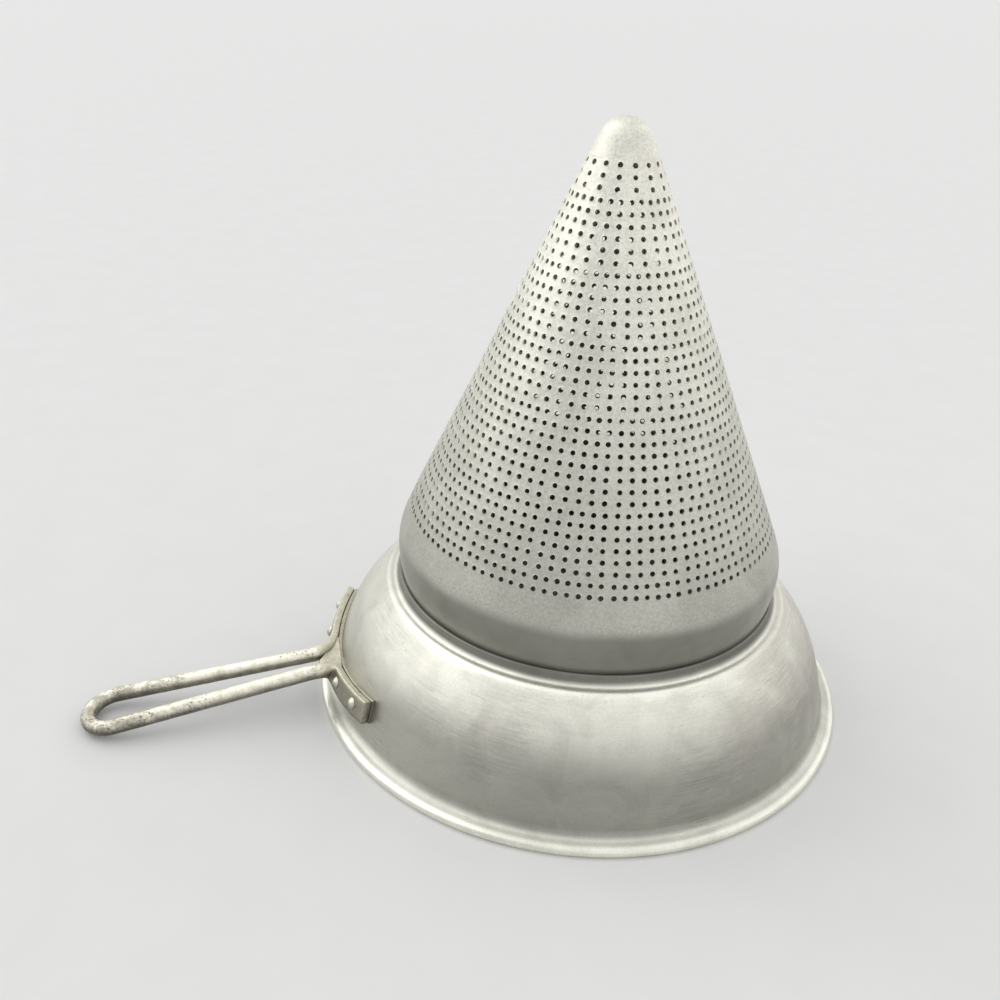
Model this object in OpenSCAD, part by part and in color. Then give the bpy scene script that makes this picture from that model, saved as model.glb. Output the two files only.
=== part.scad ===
// Cone colander, standing rim down with the cone's tip up.
// A spun, punched cone is seated by its turned-out foot under the collar of a spun
// bowl, and a hairpin rod handle is riveted to the bowl over a curved backing strap.
// Units are mm. Z is the axis of the cone and bowl, the rolled rim rests on Z = 0,
// and the handle lies along -X.

/* [Sheet] */
// Thickness of the spun sheet of the cone and the bowl
sheet_t = 1.4; // [1.2:0.1:1.6]
// Gap between two pieces that are seated on each other
seat_gap = 0.1; // [0.05:0.01:0.15]

/* [Perforated cone] */
// Slope of the cone's wall from the axis, in degrees
cone_half_angle = 23.72; // [22:0.01:26]
// Outer radius of the rounded tip
tip_r = 11.95; // [10:0.05:14]
// How far the shoulder's widest place stands out past the seat
shoulder_bulge = 1.6; // [1:0.1:2.4]
// Radius of the shoulder's rounding, seen in section
shoulder_round_r = 30; // [20:1:36]
// Radius of the neck's inward curve under the shoulder, seen in section
neck_round_r = 45; // [40:1:60]
// Radius of the short hollow curve that ends the neck at its seat
neck_hollow_r = 6; // [4:0.5:8]
// Outer radius of the neck where it sits in the bowl's collar
seat_r = 88.8; // [80:0.1:98]
// Length of the foot's sloping skirt under the bowl's crest
skirt_len = 5; // [3:0.5:8]

/* [Punched holes] */
// Diameter of a punched hole
hole_d = 1.9; // [1.4:0.1:2.2]
// How far the top row of holes lies below the centre of the tip's rounding
first_row_drop = 4.85; // [2:0.05:10]
// Least height of the lowest row of holes above the shoulder's rounding
last_row_gap = 6; // [4:0.5:12]
// Distance between rows along the wall
row_pitch = 4.75; // [4.6:0.01:4.8]
// Number of equal sectors round the cone
sectors = 16; // [8:1:16]
// Extra angle that parts one sector from the next, in degrees
sector_seam = 0.45; // [0:0.05:1]
// Turn of the first sector's middle from the -Y direction, in degrees
sector_turn = -2.6; // [-11:0.1:11]
// Every how many rows are cut, 1 for all of them
row_step = 3; // [3:1:6]
// Every how many columns are cut, 1 for all of them
column_step = 2; // [2:1:4]

/* [Bowl] */
// Height of the collar's lip above the crest
collar_h = 5.2; // [4.8:0.1:6]
// Outer radius of the hollow curve from the collar to the crest
collar_round_r = 3.2; // [2.8:0.1:3.6]
// Outer radius of the rounded crest
crest_round_r = 4; // [3.8:0.1:4.4]
// Length of the straight wall below the crest
upper_len = 14.1; // [10:0.1:18]
// Slope of the straight wall below the crest, in degrees from level
upper_slope = 50; // [48:0.5:52]
// Slope where the dome changes to its flatter curve, in degrees from level
middle_slope = 65.5; // [64:0.5:67]
// Slope at the foot of the wall, in degrees from level
lower_slope = 81; // [80:0.5:84]
// Radius of the upper dome curve, seen in section
upper_dome_r = 60; // [56:1:62]
// Radius of the lower dome curve, seen in section
lower_dome_r = 90; // [86:1:92]
// Radius of the hollow curve from the wall to the flange
flare_r = 5; // [4:0.5:6]
// Slope of the flange, in degrees from level
flange_slope = 12; // [8:1:16]
// Width of the straight flange between the flare and the roll
flange_w = 2.25; // [1:0.05:6]
// Diameter of the roll at the rim
roll_d = 4.4; // [4:0.1:4.8]
// How far round the roll the edge of the sheet is turned, in degrees
roll_turn = 268; // [240:1:275]
// Depth to which the roll is worn flat where it rests
rest_wear = 0.1; // [0.05:0.01:0.2]

/* [Handle] */
// Diameter of the handle's rod
rod_d = 7; // [6:0.1:7.4]
// Length from the start of the legs to the loop's far end, seen from above
handle_len = 97; // [80:1:120]
// Distance from the feet to the start of the legs, seen from above
root_len = 16.7; // [15.6:0.1:20]
// How much lower the rods are where the legs begin than at the feet
root_drop = 1.2; // [0.4:0.1:2]
// Half of the distance between the rods' centre lines where the legs begin
leg_half_gap = 7.1; // [6.8:0.1:8]
// Angle by which each leg leaves the middle line, in degrees
leg_spread = 3.2; // [2:0.1:4]
// Angle by which the handle dips outwards, in degrees
handle_dip = 9; // [7:0.1:9.2]

/* [Feet and strap] */
// Slope of the wall at the middle of a foot, in degrees from level
foot_slope = 73.8; // [73:0.1:74.4]
// Angle by which the feet's middle line is turned from the handle's, in degrees
feet_turn = 2.5; // [0:0.1:2.6]
// Angle by which each foot rises towards its end, in degrees
feet_rise = 7.5; // [0:0.1:8]
// Thickness of a flattened foot
foot_t = 3.9; // [3.4:0.1:4.1]
// Width of a flattened foot, up the wall
foot_h = 10.8; // [10:0.1:11.4]
// Angle from the feet's middle line at which the flattened part begins, in degrees
foot_start = 8; // [7.8:0.1:8.4]
// Angle from the feet's middle line at which a foot ends, in degrees
foot_end = 23.8; // [23:0.1:26]
// Thickness of the backing strap
strap_t = 1.6; // [1.2:0.1:1.8]
// Width of the backing strap, up the wall
strap_h = 11; // [10:0.1:11.6]
// Height of the web that fills the fork between the rods
web_h = 4; // [3:0.5:5]
// Half of the width of the web's tongue between the rods
tongue_half_w = 2.2; // [1.6:0.1:2.4]
// Distance from the feet to the end of the tongue, seen from above
tongue_len = 7.7; // [6.6:0.1:10]

/* [Rivets] */
// Angles of the rivets of one foot from the feet's middle line, in degrees
rivet_angles = [9.7, 19.2];
// Diameter of a rivet's shank
shank_d = 3.2; // [2.8:0.1:3.6]
// Gap round a rivet's shank in its holes
shank_gap = 0.05; // [0.03:0.01:0.1]
// Diameter of a rivet's domed head
head_d = 5.6; // [5:0.1:6.2]
// Height of a rivet's domed head
head_h = 1.7; // [1.4:0.1:2]
// Diameter of the flat head inside the bowl
tail_d = 5; // [4.4:0.1:5.6]
// Height of the flat head inside the bowl
tail_h = 1.2; // [1:0.1:1.6]

/* [Hidden] */

$fn = 48;

// Number of sides drawn on the large turned surfaces
turned_fn = 240;

// Number of holes across a sector in each tier, and number of rows in each tier
tier_columns = [1, 2, 3, 4, 5, 6, 7];
tier_rows = [3, 6, 6, 6, 8, 6, 2];

// Reach of a cutter past the face it leaves
cut_over = 1;
// Largest distance between a curve of the turned sections and its chords
curve_error = 0.012;

// Unit vector at an angle from level, and unit normal of a wall of a given slope
function dir(a) = [cos(a), sin(a)];
function out_normal(slope) = dir(90 - slope);
function without_first(v) = [for (i = [1:len(v) - 1]) v[i]];
function reversed(v) = [for (i = [len(v) - 1:-1:0]) v[i]];

// Points of an arc in section, close enough together to keep to curve_error
function arc_pts(c, r, a0, a1) =
    let (n = ceil(abs(a1 - a0) / (2 * acos(1 - curve_error / r))))
    [for (i = [0:n]) c + r * dir(mix(a0, a1, i / n))];

// Section of the bowl's wall as steps, on its outer face, from the crest to the roll
upper_step = upper_dome_r * (out_normal(middle_slope) - out_normal(upper_slope));
lower_step = lower_dome_r * (out_normal(lower_slope) - out_normal(middle_slope));
flare_step = flare_r * (out_normal(lower_slope) - out_normal(flange_slope));
wall_step = upper_len * dir(-upper_slope) + upper_step + lower_step + flare_step
          + flange_w * dir(-flange_slope);

// Crest and collar: the roll rests on Z = 0, and the cone's neck sits in the collar
roll_r = roll_d / 2;
roll_z = roll_r - rest_wear;
crest_end_z = roll_z + roll_r * out_normal(flange_slope)[1] - wall_step[1];
crest_z = crest_end_z + crest_round_r * (1 - out_normal(upper_slope)[1]);
collar_r = seat_r + seat_gap;
collar_top = crest_z + collar_h;
collar_c = [collar_r + sheet_t + collar_round_r, crest_z + collar_round_r];
crest_c = [collar_c[0], crest_z - crest_round_r];
crest_end = crest_c + crest_round_r * out_normal(upper_slope);
// Rounding of the collar's outer edge
lip_round_r = 0.8;

// Section points of the rest of the bowl
upper_end = crest_end + upper_len * dir(-upper_slope);
upper_c = upper_end - upper_dome_r * out_normal(upper_slope);
middle_end = upper_end + upper_step;
lower_c = middle_end - lower_dome_r * out_normal(middle_slope);
lower_end = middle_end + lower_step;
flare_c = lower_end + flare_r * out_normal(lower_slope);
roll_c = crest_end + wall_step - roll_r * out_normal(flange_slope);
rim_r = roll_c[0] + roll_r;

// Section points of the cone, on its outer face, from its seat in the collar upwards
foot_crest_r = crest_round_r - sheet_t - seat_gap;
skirt_start = crest_c + foot_crest_r * out_normal(upper_slope);
hollow_c = [seat_r + neck_hollow_r, collar_top + seat_gap];
neck_c_r = seat_r + shoulder_bulge - neck_round_r;
neck_turn = acos((hollow_c[0] - neck_c_r) / (neck_round_r + neck_hollow_r));
neck_c = [neck_c_r, hollow_c[1] + (neck_round_r + neck_hollow_r) * sin(neck_turn)];
shoulder_c = [seat_r + shoulder_bulge - shoulder_round_r, neck_c[1]];
shoulder_top = shoulder_c + shoulder_round_r * dir(cone_half_angle);
tip_z = shoulder_top[1]
      + (shoulder_top[0] * cos(cone_half_angle) - tip_r) / sin(cone_half_angle);

// Where the feet lie on the wall: the point on its outer face, and the feet's middle
foot_p = lower_c + lower_dome_r * out_normal(foot_slope);
foot_in = strap_t + seat_gap;
foot_out = foot_in + foot_t;
foot_mid = foot_p + (foot_in + foot_t / 2) * out_normal(foot_slope);

// The legs' start, the loop's centre along the legs and its centre line's radius
leg_start = foot_mid[0] + root_len;
leg_z = foot_mid[1] - root_drop;
reach_len = handle_len / cos(handle_dip);
loop_r = (leg_half_gap * cos(leg_spread) + reach_len * sin(leg_spread))
       / (1 + sin(leg_spread));
loop_len = reach_len - loop_r;
leg_len = loop_len * cos(leg_spread) - leg_half_gap * sin(leg_spread);

// Rows of holes: tier of row k, height of the first row, and number of rows in all
function rows_before(t) = t == 0 ? 0 : rows_before(t - 1) + tier_rows[t - 1];
function tier_of(k, t = 0) = k < rows_before(t + 1) ? t : tier_of(k, t + 1);
first_row_z = tip_z - first_row_drop;
row_drop = row_pitch * cos(cone_half_angle);
rows_that_fit = floor((first_row_z - shoulder_top[1] - last_row_gap) / row_drop) + 1;
row_count = min(rows_before(len(tier_rows)), rows_that_fit);

// A vector turned about Z, and a vector turned about a unit vector n
function turned_z(v, a) = [v[0] * cos(a) - v[1] * sin(a), v[0] * sin(a) + v[1] * cos(a), v[2]];
function turned_about(v, n, a) = v * cos(a) + cross(n, v) * sin(a) + n * (n * v) * (1 - cos(a));
function upright(v) = [v[0], 0, v[1]];

// Middle of a foot on the wall and the wall's normal there, in the frame of at_feet
foot_middle = (foot_start + foot_end) / 2;
foot_m = turned_z(upright(foot_p), foot_middle);
foot_n = turned_z(upright(out_normal(foot_slope)), foot_middle);

// A direction at a foot's start as the foot leans, and as it stands on the given side
function leaned_at_start(v) = turned_about(turned_z(v, foot_start), foot_n, feet_rise);
function on_side(side, v) = turned_z([v[0], -side * v[1], v[2]], 180 - feet_turn);
foot_start_mid = foot_m + turned_about(turned_z(upright(foot_mid), foot_start) - foot_m,
                                       foot_n, feet_rise);

// How far a bend keeps to its leg's and to its foot's direction
function leg_pull(side) = side < 0 ? 11 : 13;
function foot_pull(side) = side < 0 ? 6 : 9;

// Control points of a root bend's curve, from the leg's start to the foot's start
function root_curve(side) =
    let (p0 = [-leg_start, side * leg_half_gap, leg_z],
         d0 = [cos(leg_spread) * cos(handle_dip), -side * sin(leg_spread),
               cos(leg_spread) * sin(handle_dip)],
         p3 = on_side(side, foot_start_mid),
         d3 = on_side(side, leaned_at_start([0, 1, 0])))
    [p0, p0 + leg_pull(side) * d0, p3 - foot_pull(side) * d3, p3];
root_steps = 14;
root_sides = 32;

// Length by which straight rod runs into a bend, and angle by which a foot does
rod_overlap = 0.6;
foot_overlap = 0.05;
// How much each face of a root bend lies inside those of the leg and foot it joins
bend_inset = 0.05;
// Angle by which each half of the strap runs past the middle line
strap_lap = 1.5;
// How much thicker the rod is drawn in the loop than in the legs
loop_swell = 0.06;

function root_at(q, t) = pow(1 - t, 3) * q[0] + 3 * pow(1 - t, 2) * t * q[1]
                       + 3 * (1 - t) * t * t * q[2] + t * t * t * q[3];
function root_slope(q, t) = pow(1 - t, 2) * (q[1] - q[0]) + 2 * (1 - t) * t * (q[2] - q[1])
                          + t * t * (q[3] - q[2]);
function unit(v) = v / norm(v);
function mix(a, b, t) = a + (b - a) * t;
function ease(t) = t * t * (3 - 2 * t);

// Direction up the section, from the leg's plane to the leaning foot
root_up_0 = [-sin(handle_dip), 0, cos(handle_dip)];
root_up_3 = leaned_at_start([-cos(foot_slope), 0, sin(foot_slope)]);

// Flattening begins after this share of the bend
flat_from = 0.3;
function flat_share(t) = t < flat_from ? 0 : ease((t - flat_from) / (1 - flat_from));
function half_t(t) = mix(rod_d, foot_t, flat_share(t)) / 2 - bend_inset;
function half_h(t) = mix(rod_d, foot_h, flat_share(t)) / 2 - bend_inset;
function round_power(t) = mix(1, 0.4, flat_share(t));
function signed_pow(x, p) = sign(x) * pow(abs(x), p);

function root_ring(side, t) =
    let (q = root_curve(side), c = root_at(q, t), d = unit(root_slope(q, t)),
         u0 = mix(root_up_0, on_side(side, root_up_3), ease(t)),
         w = unit(cross(d, u0)), u = cross(w, d), p = round_power(t))
    [for (i = [0:root_sides - 1])
        let (a = 360 * i / root_sides)
        c + w * half_t(t) * signed_pow(cos(a), p) + u * half_h(t) * signed_pow(sin(a), p)];

// Points of the web's edge beside a root bend, seen from above
web_steps = 8;
web_from = 0.35;
web_lean = web_h / 2 / tan(foot_slope);
function web_edge(side) =
    let (q = root_curve(side))
    [for (i = [0:web_steps])
        let (t = mix(web_from, 1, i / web_steps), c = root_at(q, t),
             d = unit(root_slope(q, t)), o = half_t(t) + seat_gap + web_lean * ease(t))
        [c[0] + side * d[1] * o, c[1] - side * d[0] * o]];

// Frame of the feet: X out along their middle line, Y to the side of the foot drawn
module at_feet(side) {
    rotate([0, 0, 180 - feet_turn])
        if (side > 0)
            mirror([0, 1, 0])
                children();
        else
            children();
}

// Frame of the wall at an angle from the feet's middle line, Z along the wall's normal
module at_wall(a) {
    rotate([0, 0, a])
        translate(upright(foot_p))
            rotate([0, foot_slope, 0])
                children();
}

// Frame of one foot, turned about the wall's normal at its middle so that it rises
module at_foot(side) {
    at_feet(side)
        at_wall(foot_middle)
            rotate([0, 0, feet_rise])
                rotate([0, -foot_slope, 0])
                    translate(-upright(foot_p))
                        rotate([0, 0, -foot_middle])
                            children();
}

// Frame of a rivet: origin on the wall's outer face, Z along the wall's normal
module at_rivet(side, a) {
    at_foot(side)
        at_wall(a)
            children();
}

// Frame of the legs: X out along the handle from the start of the legs
module at_legs() {
    translate([-leg_start, 0, leg_z])
        rotate([0, handle_dip, 180])
            children();
}

module rivet_holes() {
    for (side = [-1, 1], a = rivet_angles)
        at_rivet(side, a)
            translate([0, 0, -sheet_t - cut_over])
                cylinder(d = shank_d + 2 * shank_gap, h = sheet_t + foot_out + 2 * cut_over);
}

// Face of the cone's sheet at depth e under its outer face, from the tip to the skirt
function cone_face(e) = concat(
    arc_pts([0, tip_z], tip_r - e, 90, cone_half_angle),
    arc_pts(shoulder_c, shoulder_round_r - e, cone_half_angle, 0),
    without_first(arc_pts(neck_c, neck_round_r - e, 0, -neck_turn)),
    without_first(arc_pts(hollow_c, neck_hollow_r + e, 180 - neck_turn, 180)),
    arc_pts(collar_c, collar_round_r + sheet_t + seat_gap + e, 180, 270),
    without_first(arc_pts(crest_c, foot_crest_r - e, 90, 90 - upper_slope)),
    [skirt_start + skirt_len * dir(-upper_slope) - e * out_normal(upper_slope)]);

// Holes on the rows and columns of each sector, square to the wall
module punched_holes() {
    for (k = [0:row_step:row_count - 1]) {
        c = tier_columns[tier_of(k)];
        z = first_row_z - k * row_drop;
        r = shoulder_top[0] + (shoulder_top[1] - z) * tan(cone_half_angle);
        first = min(k / row_step % column_step, c - 1);
        step = (360 / sectors - sector_seam) / c;
        for (s = [0:sectors - 1], j = [first:column_step:c - 1])
            rotate([0, 0, sector_turn - 90 + 360 * s / sectors + (j - (c - 1) / 2) * step])
                translate([r, 0, z])
                    rotate([0, 90 - cone_half_angle, 0])
                        cylinder(d = hole_d, h = 3 * sheet_t, center = true);
    }
}

module perforated_cone() {
    color("Silver")
        difference() {
            rotate_extrude($fn = turned_fn)
                polygon(concat(cone_face(0), reversed(cone_face(sheet_t))));
            punched_holes();
        }
}

// Face of the bowl's sheet at depth e under its outer face, from the collar to the roll
function bowl_face(e) = concat(
    arc_pts(collar_c, collar_round_r + e, 180, 270),
    without_first(arc_pts(crest_c, crest_round_r - e, 90, 90 - upper_slope)),
    arc_pts(upper_c, upper_dome_r - e, 90 - upper_slope, 90 - middle_slope),
    without_first(arc_pts(lower_c, lower_dome_r - e, 90 - middle_slope, 90 - lower_slope)),
    without_first(arc_pts(flare_c, flare_r + e, 270 - lower_slope, 270 - flange_slope)),
    arc_pts(roll_c, roll_r - e, 90 - flange_slope, 90 - flange_slope - roll_turn));

// Sheet of the bowl in section, with its lip rounded outside and its roll worn flat
module bowl_section() {
    lip_c = [collar_r + sheet_t - lip_round_r, collar_top - lip_round_r];
    difference() {
        polygon(concat(arc_pts(lip_c, lip_round_r, 90, 0), bowl_face(0),
                       reversed(bowl_face(sheet_t)), [[collar_r, collar_top]]));
        translate([rim_r - roll_d, -cut_over])
            square([roll_d, cut_over]);
    }
}

module bowl() {
    color("Gainsboro")
        difference() {
            rotate_extrude($fn = turned_fn)
                bowl_section();
            rivet_holes();
        }
}

// Rod between a leg and a foot, bent outwards and flattened on its way
module root_bend(side) {
    n = root_sides;
    polyhedron(points = [for (j = [0:root_steps]) each root_ring(side, j / root_steps)],
               faces = [[for (i = [0:n - 1]) n - 1 - i],
                        for (j = [0:root_steps - 1], i = [0:n - 1])
                            [j * n + i, j * n + (i + 1) % n,
                             (j + 1) * n + (i + 1) % n, (j + 1) * n + i],
                        [for (i = [0:n - 1]) root_steps * n + i]]);
}

// Flattened end of the rod, curved along the bowl's wall
module foot(side) {
    at_foot(side)
        rotate([0, 0, foot_start - foot_overlap])
            rotate_extrude(angle = foot_end - foot_start + foot_overlap, $fn = turned_fn)
                translate(foot_mid)
                    rotate(90 - foot_slope)
                        polygon([for (i = [0:root_sides - 1])
                            let (a = 360 * i / root_sides, p = round_power(1))
                            [foot_t / 2 * signed_pow(cos(a), p),
                             foot_h / 2 * signed_pow(sin(a), p)]]);
}

// Leg on the -Y side, run a little into the bend and the loop at its ends
module leg() {
    translate([0, leg_half_gap, 0])
        rotate([0, 90, leg_spread])
            translate([0, 0, -rod_overlap])
                cylinder(d = rod_d, h = leg_len + 2 * rod_overlap);
}

// One rod: a foot, a bend, a leg, the loop, and back again
module handle() {
    color("Cornsilk") {
        difference() {
            for (side = [-1, 1])
                foot(side);
            rivet_holes();
        }
        for (side = [-1, 1])
            root_bend(side);
        at_legs() {
            leg();
            mirror([0, 1, 0])
                leg();
            translate([loop_len, 0, 0])
                rotate([0, 0, -90 - leg_spread])
                    rotate_extrude(angle = 180 + 2 * leg_spread)
                        translate([loop_r, 0])
                            circle(d = rod_d + loop_swell);
        }
    }
}

// Half of the strap, from a little past the middle line to the end of its foot
module half_strap(side) {
    at_foot(side)
        rotate([0, 0, -strap_lap])
            rotate_extrude(angle = foot_end + strap_lap, $fn = turned_fn)
                translate(foot_p)
                    rotate(90 - foot_slope)
                        translate([-cut_over, -strap_h / 2])
                            square([strap_t + cut_over, strap_h]);
}

// Strap bent to the bowl's wall, with a web and tongue in the fork of the rods
module backing_strap() {
    color("Tan")
        difference() {
            union() {
                for (side = [-1, 1])
                    half_strap(side);
                translate([0, 0, foot_start_mid[2] - web_h / 2])
                    linear_extrude(height = web_h)
                        web_outline();
            }
            rotate_extrude($fn = turned_fn)
                wall_form();
            rivet_holes();
        }
}

// One side of the web, from the tongue's end along the bend to the wall
function web_side(side) = concat(
    [[-foot_mid[0] - tongue_len, side * tongue_half_w]],
    web_edge(side),
    [let (p = on_side(side, turned_z(upright(foot_p), foot_start))) [p[0], p[1]]]);

module web_outline() {
    polygon(concat(web_side(1), reversed(web_side(-1))));
}

// Outline of the bowl's wall behind the strap, in section
module wall_form() {
    intersection() {
        translate(lower_c)
            circle(r = lower_dome_r + seat_gap, $fn = turned_fn);
        translate([seat_r, 0])
            square([rim_r - seat_r, crest_z]);
    }
}

// Rivet through foot, strap and wall, with a domed head outside and a flat one inside
module rivet(side, a) {
    base = foot_out + seat_gap;
    ball_r = (pow(head_h, 2) + pow(head_d / 2, 2)) / (2 * head_h);
    tail_z = -sheet_t - seat_gap;
    color("WhiteSmoke")
        at_rivet(side, a) {
            intersection() {
                translate([0, 0, base + head_h - ball_r])
                    sphere(r = ball_r);
                translate([0, 0, base])
                    cylinder(d = head_d + cut_over, h = head_h + cut_over);
            }
            translate([0, 0, tail_z])
                cylinder(d = shank_d, h = base - tail_z);
            translate([0, 0, tail_z - tail_h])
                cylinder(d = tail_d, h = tail_h);
        }
}

module rivet_1() {
    rivet(-1, rivet_angles[1]);
}

module rivet_2() {
    rivet(-1, rivet_angles[0]);
}

module rivet_3() {
    rivet(1, rivet_angles[0]);
}

module rivet_4() {
    rivet(1, rivet_angles[1]);
}

perforated_cone();
bowl();
handle();
backing_strap();
rivet_1();
rivet_2();
rivet_3();
rivet_4();
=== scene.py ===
"""Looks of a cone colander: punched cone, spun bowl, hairpin rod handle, strap and rivets.

Sizes are in metres and angles in radians. Z is the axis of the cone and bowl, the
rolled rim rests on Z = 0, and the handle lies along -X.
"""

import random
from functools import cached_property
from math import acos, asin, atan2, ceil, copysign, cos, degrees, pi, radians, sin, tan, tau

import bmesh
import bpy
import numpy as np
from mathutils import Matrix, Vector, noise


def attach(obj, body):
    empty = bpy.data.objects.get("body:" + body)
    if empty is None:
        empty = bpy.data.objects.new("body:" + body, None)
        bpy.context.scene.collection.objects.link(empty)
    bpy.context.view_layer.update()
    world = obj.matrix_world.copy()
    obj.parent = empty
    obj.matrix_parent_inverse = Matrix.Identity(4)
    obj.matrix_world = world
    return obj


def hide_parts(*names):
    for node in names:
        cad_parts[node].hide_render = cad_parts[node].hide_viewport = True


bl_info = {
    "name": "Cone Colander",
    "version": (1, 0, 0),
    "blender": (4, 5, 0),
    "location": "View3D > Sidebar > Colander",
    "description": "Dresses a punched cone colander with its bowl and rod handle",
    "category": "Add Mesh",
}

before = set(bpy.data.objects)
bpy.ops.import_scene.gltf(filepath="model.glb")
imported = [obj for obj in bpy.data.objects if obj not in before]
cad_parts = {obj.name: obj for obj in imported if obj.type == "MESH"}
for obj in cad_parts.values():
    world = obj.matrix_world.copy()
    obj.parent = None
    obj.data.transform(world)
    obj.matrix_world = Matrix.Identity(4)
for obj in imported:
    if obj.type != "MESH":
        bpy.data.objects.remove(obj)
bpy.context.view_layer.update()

BODY = "root"
MM = 0.001


def length(name, text, in_mm):
    return bpy.props.FloatProperty(
        name=name, description=text, default=in_mm * MM, min=0.0,
        precision=4, subtype="DISTANCE", unit="LENGTH")


def angle(name, text, in_degrees):
    return bpy.props.FloatProperty(
        name=name, description=text, default=radians(in_degrees),
        subtype="ANGLE", unit="ROTATION")


def colour(name, text, rgb):
    return bpy.props.FloatVectorProperty(
        name=name, description=text, default=rgb, size=3, min=0.0, max=1.0,
        subtype="COLOR")


# Settings: the sizes and colours that a user would change


class ConeSettings(bpy.types.PropertyGroup):
    """Sizes of the punched cone"""

    half_angle: angle("Half-angle", "Slope of the wall from the axis", 23.72)
    tip_radius: length("Tip radius", "Outer radius of the rounded tip", 11.95)
    seat_radius: length("Seat radius", "Outer radius of the neck in the collar", 88.8)
    shoulder_bulge: length("Bulge", "How far the shoulder stands past the seat", 1.6)
    shoulder_round: length("Shoulder rounding", "Radius of the shoulder in section", 30)
    neck_round: length("Neck rounding", "Radius of the neck in section", 45)
    neck_hollow: length("Neck hollow", "Radius of the curve into the seat", 6)
    skirt: length("Skirt", "Length of the sloping skirt inside the bowl", 5)
    hole: length("Hole", "Diameter of a punched hole", 2.2)
    first_row: length("First row", "Top row of holes below the tip's centre", 4.85)
    row_pitch: length("Row pitch", "Distance between rows along the wall", 4.75)
    burr: length("Burr", "Height of the edge that the punch leaves", 0.14)
    seam: angle("Seam", "Extra angle between two sectors of holes", 0.45)
    turn: angle("Turn", "Middle of the first sector from -Y", -2.6)
    waver: length("Waver", "How far punched holes stray from their places", 0.13)
    uneven: length("Unevenness", "How far the hand-spun wall strays", 0.22)


class BowlSettings(bpy.types.PropertyGroup):
    """Sizes of the spun bowl"""

    sheet: length("Sheet", "Thickness of the spun sheet", 1.4)
    gap: length("Gap", "Gap between seated pieces", 0.1)
    collar_round: length("Collar rounding", "Hollow curve at the collar", 3.2)
    crest_round: length("Crest rounding", "Rounding of the crest", 4.0)
    collar_height: length("Collar height", "Collar's lip above the crest", 5.2)
    upper_length: length("Upper wall", "Straight wall below the crest", 14.1)
    upper_slope: angle("Upper slope", "Slope of the wall below the crest", 50)
    middle_slope: angle("Middle slope", "Slope where the dome's curve changes", 65.5)
    lower_slope: angle("Lower slope", "Slope at the foot of the wall", 81)
    upper_dome: length("Upper dome", "Radius of the upper dome in section", 60)
    lower_dome: length("Lower dome", "Radius of the lower dome in section", 90)
    flare: length("Flare", "Hollow curve from the wall to the flange", 5)
    flange_slope: angle("Flange slope", "Slope of the flange", 12)
    flange: length("Flange", "Width of the straight flange", 2.25)
    roll: length("Roll", "Diameter of the roll at the rim", 4.4)
    roll_turn: angle("Roll turn", "How far the edge is turned round the roll", 268)
    rest_wear: length("Rest wear", "Depth to which the roll is worn flat", 0.1)
    uneven: length("Unevenness", "How far the hand-spun wall strays", 0.18)


class HandleSettings(bpy.types.PropertyGroup):
    """Sizes of the rod handle, its feet and strap, and the rivets"""

    rod: length("Rod", "Diameter of the rod", 7)
    handle_length: length("Length", "From the legs' start to the loop's far end", 97)
    root_length: length("Root length", "From the feet to the legs' start", 16.7)
    root_drop: length("Root drop", "Rods at the legs' start below the feet", 1.2)
    leg_gap: length("Leg gap", "Half distance of the rods at the leg start", 7.1)
    leg_spread: angle("Leg spread", "Angle of each leg from the middle line", 3.2)
    dip: angle("Dip", "Angle by which the handle dips outwards", 9)
    leg_pull: length("Leg pull", "How far a leg's line steers the bend", 14.5)
    near_pull: length("Near pull", "How far the near foot steers its bend", 8.5)
    far_pull: length("Far pull", "How far the far foot steers its bend", 10)
    foot_slope: angle("Foot slope", "Slope of the wall at the middle of a foot", 73.8)
    feet_turn: angle("Feet turn", "The feet's middle line from the handle's", 2.5)
    feet_rise: angle("Feet rise", "Angle by which each foot rises to its end", 7.5)
    foot_thick: length("Foot thickness", "Thickness of a flattened foot", 3.9)
    foot_wide: length("Foot width", "Width of a flattened foot", 10.8)
    foot_start: angle("Foot start", "Angle at which the flat of a foot begins", 8)
    foot_end: angle("Foot end", "Angle at which a foot ends", 23.8)
    strap_thick: length("Strap thickness", "Thickness of the backing strap", 1.6)
    strap_wide: length("Strap width", "Width of the backing strap", 11)
    web_height: length("Web height", "Height of the web between the rods", 4)
    tongue_length: length("Tongue length", "From the feet to the tongue's end", 7.7)
    tongue_half: length("Tongue half", "Half width of the tongue", 2.2)
    rivet_inner: angle("Inner rivet", "Angle of the inner rivets", 9.7)
    rivet_outer: angle("Outer rivet", "Angle of the outer rivets", 19.2)
    shank: length("Shank", "Diameter of a rivet's shank", 3.2)
    head: length("Head", "Diameter of a rivet's domed head", 5.6)
    head_rise: length("Head rise", "Height of a rivet's domed head", 1.7)
    tail: length("Tail", "Diameter of the flat head inside", 5.0)
    tail_rise: length("Tail rise", "Height of the flat head inside", 1.2)


class FinishSettings(bpy.types.PropertyGroup):
    """Colours of the metals and the stage"""

    sheet: colour("Sheet", "Clean spun aluminium", (0.72, 0.713, 0.635))
    stain: colour("Stain", "Dull stain on the sheet", (0.49, 0.49, 0.43))
    rod: colour("Rod", "Pale oxidised rod", (0.83, 0.80, 0.67))
    pit: colour("Pit", "Dark pitting in the rod", (0.09, 0.075, 0.05))
    rivet: colour("Rivet", "Rubbed rivet head", (0.64, 0.63, 0.54))
    floor: colour("Floor", "Pale studio floor", (0.83, 0.83, 0.82))


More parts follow.
